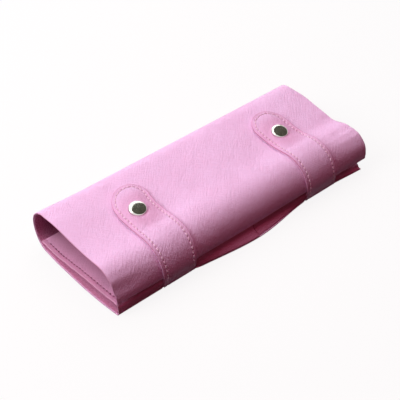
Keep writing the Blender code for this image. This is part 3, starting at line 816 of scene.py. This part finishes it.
def metal(name, light, deep, smooth, worn, scratch):
    """Plated or pressed metal, with hairline scratches and duller patches."""
    made, tree, shader = new_material(name)
    place = node(tree, "ShaderNodeTexCoord").outputs["Object"]
    slow = node(tree, "ShaderNodeTexNoise", inputs={"Vector": place, "Scale": 300.0, "Detail": 4.0})
    stretched = node(tree, "ShaderNodeMapping", inputs={"Vector": place, "Rotation": (0.0, 0.0, 0.6),
                                                        "Scale": (1.0, 14.0, 1.0)})
    hairs = node(tree, "ShaderNodeTexNoise", inputs={"Vector": stretched.outputs[0], "Scale": 420.0,
                                                     "Detail": 5.0, "Roughness": 0.7})
    lines = hairs.outputs["Fac"]
    colour = mix(tree, ramp(tree, slow.outputs["Fac"], 0.35, 0.7), light, deep)
    dulled = ramp(tree, lines, 0.35, 0.75, smooth, worn)
    finish_look(tree, shader, colour, dulled, lines, strength=scratch, distance=0.00004)
    shader.inputs["Metallic"].default_value = 1.0
    return made


def make_looks():
    return {
        "shell": leather("shell_leather", PINK, PINK_DEEP, PINK_RIM, roughness=0.42),
        "strap": leather("strap_leather", PINK, PINK_DEEP, STRAP_RIM_AND_SHADOW, roughness=0.42, inset=STITCH_INSET,
                         darker_round=SNAP_RUN),
        # The backing and the inner flaps take the pink leather's shaded copy, as painted shade
        "backing": leather("strap_backing_in_shade", SHADED_PINK, SHADED_PINK_DEEP, SHADED_PINK_RIM, roughness=0.6),
        "inner": leather("inner_flap_leather_in_shade", SHADED_PINK, SHADED_PINK_DEEP, SHADED_PINK_RIM, roughness=0.55,
                         inset=FLAP_STITCH_INSET, lip_shade_top=LIP_HEIGHTS["right"], depth=INNER_GRAIN_DEPTH),
        "lining": cloth("rose_lining", ROSE, ROSE_DEEP),
        "thread": thread("pink_thread", THREAD, THREAD_DEEP),
        "inner_thread": thread("rose_thread", ROSE_DEEP, DARK_ROSE),
        "nickel": metal("polished_nickel", NICKEL, NICKEL_DEEP, smooth=0.11, worn=0.19, scratch=0.05),
        "steel": metal("pressed_steel", STEEL, STEEL_DEEP, smooth=0.28, worn=0.45, scratch=0.4),
    }


def end_columns(left, right):
    """Places across the shell, closer together near its two ends."""
    middle = spread(left + SHELL_END, right - SHELL_END, COLUMN_STEP)
    gaps = (0.0, *SHELL_END_GAPS)
    return [left + gap for gap in gaps] + middle + [right - gap for gap in reversed(gaps)]


def strip_edge(left, right, low=None, high=None):
    """The way to the nearest free edge of a strip, and the run along it."""
    def edge_of(across, run):
        ways = [across - left, right - across]
        if low is not None:
            ways.append(run - low)
        if high is not None:
            ways.append(high - run)
        return max(min(ways), 0.0), run
    return edge_of


def make_shell(looks):
    """The outer leather in three lengths that meet where it doesn't bend, and its lining likewise."""
    lengths = (
        ("base_and_spine", 0.0, SPINE_JOIN, "base_spine", ("base_panel",), ("base_lining",)),
        ("spine_and_cover", SPINE_JOIN, COVER_JOIN, "spine_cover", ("spine_panel",), ("spine_lining",)),
        ("cover_and_flap", COVER_JOIN, SHELL_RUN, "cover_flap", ("cover_panel", "front_flap_panel"),
         ("cover_lining", "front_flap_lining")),
    )
    for name, low, high, zone, panels, linings in lengths:
        joins = [join for join in SHELL_JOINS if join in (low, high)]
        edge_of = strip_edge(LEFT_END, COVER_RIGHT, low if low == 0.0 else None,
                             high if high == SHELL_RUN else None)
        bm = flat_strip(end_columns(LEFT_END, COVER_RIGHT), spread(low, high, SHELL_ROW))
        thicken(bm, LEATHER, joins)
        draw_in_base(bm)
        piece = lay(f"{name}_leather", bm, shell_skin, -1, edge_of, looks["shell"])
        hang(piece, zone, "outer_leather", *panels)
        start = low if low > 0.0 else LIP_LEATHER + PLY_GAP
        left, right = LEFT_END + LINING_MARGIN, COVER_RIGHT - LINING_MARGIN
        bm = flat_strip(end_columns(left, right), spread(start, high, LINING_ROW))
        thicken(bm, LINING, joins)
        draw_in_base(bm)
        edge_of = strip_edge(left, right)
        piece = lay(f"{name}_lining", bm, shell_skin, -1, edge_of, looks["lining"], -PLY_REACH)
        hang(piece, zone, "lining", *linings)


def draw_in_base(bm):
    """The leather is cut narrower at the base: its right end slopes in from the cover to the base."""
    for vert in bm.verts:
        share = 1 - smooth_step((vert.co.y - BASE_RUN) / (SPINE_JOIN - BASE_RUN))
        reach = smooth_step((vert.co.x - BASE_RIGHT + END_ZONE) / END_ZONE)
        vert.co.x -= (COVER_RIGHT - BASE_RIGHT) * share * reach


def make_inner_flap(side, looks):
    """The lip and inner flap of one side as one leather, its lining, and the row of stitches at its end."""
    skin, rise, fold_run, end = flap_skin(side)
    if side == "left":
        left, right = LIP_LEFT_END, SPLIT_LEFT
        open_end, inward = left, 1
    else:
        left, right = SPLIT_RIGHT, LIP_RIGHT_END
        open_end, inward = right, -1

    def edge_of(across, run):
        return abs(across - open_end), run

    even = spread(left, right, COLUMN_STEP)
    across = sorted([open_end + gap * inward for gap in FLAP_END_GAPS] +
                    [x for x in even if not SAME_PLACE < abs(x - open_end) < FLAP_END])
    along = spread(0.0, fold_run, STRAP_ROW) + spread(fold_run, end, STRAP_ROW)[1:]
    bm = flat_strip(across, along)
    thicken(bm, FLAP_FACE, [])
    piece = lay(f"inner_flap_{side}_leather", bm, skin, 1, edge_of, looks["inner"],
                sewn=press(FLAP_STITCH_INSET))
    hang(piece, f"inner_{side}", "inner_leather", f"front_lip_{side}", f"inner_flap_{side}_face")
    along = spread(rise, fold_run, FLAP_LINING_FOLD_ROW) + spread(fold_run, end, COLUMN_STEP)[1:]
    bm = flat_strip(even, along)
    thicken(bm, FLAP_LINING, [])
    under = lay(f"inner_flap_{side}_cloth", bm, skin, 1, edge_of, looks["lining"], -FLAP_FACE - PLY_GAP)
    hang(under, f"inner_{side}", "lining", f"inner_flap_{side}_lining")
    seam = open_end + FLAP_STITCH_INSET * inward
    last_stitch = int((end - STITCH_PITCH) / STITCH_PITCH)
    places = [(seam, (step + 0.5) * STITCH_PITCH, pi / 2) for step in range(FIRST_FLAP_STITCH, last_stitch)]
    row = sew(f"inner_flap_{side}_thread", places, skin, 1, looks["inner_thread"], reach=FLAP_STITCH_REACH)
    hang(row, f"inner_{side}", "inner_leather")


def strap_edge(across, run):
    """The way in from the strap's outline, and the run along its row of stitches."""
    radius = STRAP_HALF - STITCH_INSET
    if run <= SHOULDER_RUN:
        away = run if across < 0 else 2 * SHOULDER_RUN + pi * radius - run
        return STRAP_HALF - abs(across), away
    turn = atan2(run - SHOULDER_RUN, -across)
    return STRAP_HALF - hypot(across, run - SHOULDER_RUN), SHOULDER_RUN + radius * turn


def stitch_places():
    """Each stitch of the strap as its place and its turn, up one side, round the tip and down."""
    radius = STRAP_HALF - STITCH_INSET
    total = 2 * SHOULDER_RUN + pi * radius
    places = []
    for step in range(1, int(total / STITCH_PITCH) - 1):
        run = (step + 0.5) * STITCH_PITCH
        if run < SHOULDER_RUN:
            places.append((-radius, run, pi / 2))
        elif run < SHOULDER_RUN + pi * radius:
            turn = (run - SHOULDER_RUN) / radius
            places.append((-radius * cos(turn), SHOULDER_RUN + radius * sin(turn), pi / 2 - turn))
        else:
            places.append((radius, total - run, pi / 2))
    return places


def make_strap(side, looks):
    """The strap's face and backing in three lengths, and the thread that shows on both sides of it."""
    skin = strap_skin(side)
    across = [inset - STRAP_HALF for inset in STRAP_INSETS] + [0.0]
    across += [STRAP_HALF - inset for inset in reversed(STRAP_INSETS)]
    plies = (("leather", "face", STRAP_FACE, 0.0, 0.0, "strap", press(STITCH_INSET)),
             ("backing", "backing", STRAP_BACKING, STRAP_FACE + STRAP_PLY_GAP, PLY_REACH, "backing", None))
    for ply, node_ply, thick, inward, root, look, sewn in plies:
        for stretch, zone, low, high in STRETCHES:
            if stretch == "tab":
                bm = flat_tab([*STRAP_INSETS, STRAP_HALF], low)
            else:
                bm = flat_strip(across, spread(max(low, root), high, STRAP_ROW))
            thicken(bm, thick, [join for join in (LOWER_JOIN, TAB_JOIN) if join in (low, high)])
            name = f"strap_{side}_{stretch}_{ply}_skin"
            piece = lay(name, bm, skin, 1, strap_edge, looks[look], -inward, sewn)
            hang(piece, f"{side}_{zone}", "strap_leather", f"strap_{side}_{stretch}_{node_ply}")
    for stretch, zone, low, high in STRETCHES:
        for ply, outward, depth in (("face", 1, 0.0), ("back", -1, STRAP_THICK)):
            mine = [place for place in stitch_places() if low <= place[1] < high]
            name = f"strap_{side}_{stretch}_{ply}_thread"
            row = sew(name, mine, skin, outward, looks["thread"], -depth * outward)
            hang(row, f"{side}_{zone}", "strap_leather")


def make_cap(side, looks):
    """The domed cap: a flat crown, a rounded shoulder and a rolled rim that sits on the leather."""
    seat, along_x, along_run, normal = on_skin(strap_skin(side), 1, CAP_OFF_MIDDLE, SNAP_RUN, 0.0)
    bm = bmesh.new()
    crown = CAP_HEIGHT - CAP_ROLL
    turns = [pi / 2 * share for share in shares(CAP_STEPS)]
    flat = 2 / CAP_SQUARENESS
    points = [(CAP_RADIUS * sin(turn) ** flat, CAP_ROLL + crown * cos(turn) ** flat) for turn in turns]
    # The small roll takes only a few of the turns
    roll = [(CAP_RADIUS - CAP_ROLL / 2 * (1 - cos(turn)), CAP_ROLL * (1 - sin(turn))) for turn in turns[3::5]]
    points += roll + [(SHANK_RADIUS, 0.0), (SHANK_RADIUS, -STRAP_THICK), (0.0, -STRAP_THICK)]
    verts = [bm.verts.new((radius, 0.0, z)) for radius, z in points]
    for pair in zip(verts, verts[1:]):
        bm.edges.new(pair)
    bmesh.ops.spin(bm, geom=bm.verts[:] + bm.edges[:], cent=(0, 0, 0), axis=(0, 0, 1), dvec=(0, 0, 0),
                   angle=2 * pi, steps=CAP_SPOKES, use_merge=True, use_duplicate=False)
    bmesh.ops.remove_doubles(bm, verts=bm.verts, dist=SAME_PLACE)
    bmesh.ops.recalc_face_normals(bm, faces=bm.faces)
    normal = Matrix.Rotation(CAP_TILT, 3, "X") @ normal
    axes = (along_x, normal.cross(along_x), normal)
    for vert in bm.verts:
        vert.co = seat + sum((axis * length for axis, length in zip(axes, vert.co)), Vector())
    cap = as_piece(f"snap_cap_{side}_dome", bm, looks["nickel"])
    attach(cap, f"strap_{side}_tab")
    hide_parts(f"snap_cap_{side}")


def dress_snaps(looks):
    """The snaps' pressed parts keep their solids and get their steel."""
    for side in SIDES:
        for name in (f"snap_stud_{side}", f"stud_post_{side}", f"snap_socket_{side}"):
            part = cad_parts[name]
            part.data.materials.clear()
            part.data.materials.append(looks["steel"])


# Camera, from the photograph's own perspective
CAMERA_PLACE = Vector((-0.39118, -0.47424, 0.53842))
CAMERA_AIM = Vector((-0.0160, -0.0075, 0.0180))
CAMERA_ROLL = radians(-1.93)
CAMERA_LENS, CAMERA_SENSOR = 86.8, 36.0

# Room: the floor lies just below the roll's underside, and shows white but throws little light back
FLOOR_DROP = 0.0003
FLOOR_SIZE = 6.0
FLOOR_TONE, FLOOR_BOUNCE = (0.88, 0.88, 0.88), (0.045, 0.008, 0.012)
FLOOR_GLOW, FLOOR_ROUGHNESS = 0.88, 0.9
WORLD_FILL = (0.084, 0.013, 0.020)
CARD_PLACE = Vector((0.41, -0.27, 0.78))
CARD_RADIUS, CARD_SEGMENTS = 1.28, 64
CARD_COLOUR = (0.085, 0.080, 0.062)

# Lamps by place, size and power. The rose one stands for light that the leather throws into its own folds
KEY = (0.32, 0.70, 1.00), 1.6, 13.9
END_FILL = (-0.95, 0.44, 0.80), 0.9, 12.8
ROSE_FILL = (-0.10, -0.16, 1.02), 0.5, 1.75
ROSE_LIGHT = (1.0, 0.15, 0.30)


def make_camera():
    data = bpy.data.cameras.new("camera")
    data.lens, data.sensor_width = CAMERA_LENS, CAMERA_SENSOR
    camera = bpy.data.objects.new("camera", data)
    bpy.context.scene.collection.objects.link(camera)
    turn = (CAMERA_AIM - CAMERA_PLACE).to_track_quat("-Z", "Y").to_matrix().to_4x4()
    camera.matrix_world = Matrix.Translation(CAMERA_PLACE) @ turn @ Matrix.Rotation(CAMERA_ROLL, 4, "Z")
    bpy.context.scene.camera = camera


def area_light(name, place, size, power, colour=WHITE):
    """A square lamp that shines on the middle of the roll's underside."""
    data = bpy.data.lights.new(name, "AREA")
    data.shape, data.size, data.energy, data.color = "SQUARE", size, power, colour
    lamp = bpy.data.objects.new(name, data)
    bpy.context.scene.collection.objects.link(lamp)
    lamp.location = place
    lamp.rotation_euler = (-lamp.location).to_track_quat("-Z", "Y").to_euler()
    return lamp


def seen_share(tree):
    """1 for what the camera sees directly, in a mirror or through glass."""
    path = node(tree, "ShaderNodeLightPath").outputs
    seen = maths(tree, "MAXIMUM", path["Is Camera Ray"], path["Is Glossy Ray"])
    return maths(tree, "MAXIMUM", seen, path["Is Transmission Ray"])


def make_room():
    """The white surroundings and the floor. Both show white, but light the roll only with a weak rose."""
    world = bpy.data.worlds.new("studio")
    bpy.context.scene.world = world
    world.use_nodes = True
    tree = world.node_tree
    back = tree.nodes["Background"]
    tree.links.new(mix(tree, seen_share(tree), WORLD_FILL, WHITE), back.inputs["Color"])
    bm = bmesh.new()
    bmesh.ops.create_grid(bm, x_segments=1, y_segments=1, size=FLOOR_SIZE / 2)
    bmesh.ops.translate(bm, verts=bm.verts, vec=(0.0, 0.0, -FLOOR_DROP))
    look, tree, shader = new_material("floor")
    colour = mix(tree, seen_share(tree), FLOOR_BOUNCE, FLOOR_TONE)
    tree.links.new(colour, shader.inputs["Base Color"])
    shader.inputs["Roughness"].default_value = FLOOR_ROUGHNESS
    glow = node(tree, "ShaderNodeEmission", inputs={"Color": (*WHITE, 1.0), "Strength": 1.0})
    share = maths(tree, "MULTIPLY", seen_share(tree), FLOOR_GLOW)
    both = node(tree, "ShaderNodeMixShader", inputs={0: share, 1: shader.outputs[0], 2: glow.outputs[0]})
    tree.links.new(both.outputs[0], tree.nodes["Material Output"].inputs["Surface"])
    as_piece("floor", bm, look)


def make_dark_card():
    """A round dark card overhead, which only the polished caps mirror."""
    bm = bmesh.new()
    bmesh.ops.create_circle(bm, cap_ends=True, segments=CARD_SEGMENTS, radius=CARD_RADIUS)
    look, tree, shader = new_material("dark_card")
    shader.inputs["Base Color"].default_value = (*BLACK, 1.0)
    shader.inputs["Roughness"].default_value = 1.0
    shader.inputs["Specular IOR Level"].default_value = 0.0
    shader.inputs["Emission Color"].default_value = (*CARD_COLOUR, 1.0)
    shader.inputs["Emission Strength"].default_value = 1.0
    turn = CARD_PLACE.to_track_quat("Z", "Y").to_matrix().to_4x4()
    bm.transform(Matrix.Translation(CARD_PLACE) @ turn)
    card = as_piece("dark_card", bm, look)
    card.visible_camera = card.visible_diffuse = card.visible_shadow = False
    card.visible_transmission = card.visible_volume_scatter = False


def main():
    bpy.context.scene.view_settings.view_transform = "Standard"
    make_camera()
    make_room()
    make_dark_card()
    area_light("key", *KEY)
    area_light("end_fill", *END_FILL)
    rose = area_light("rose_fill", *ROSE_FILL, ROSE_LIGHT)
    rose.visible_glossy = False
    looks = make_looks()
    make_shell(looks)
    for side in SIDES:
        make_inner_flap(side, looks)
        make_strap(side, looks)
        make_cap(side, looks)
    dress_snaps(looks)


main()

bpy.context.view_layer.update()
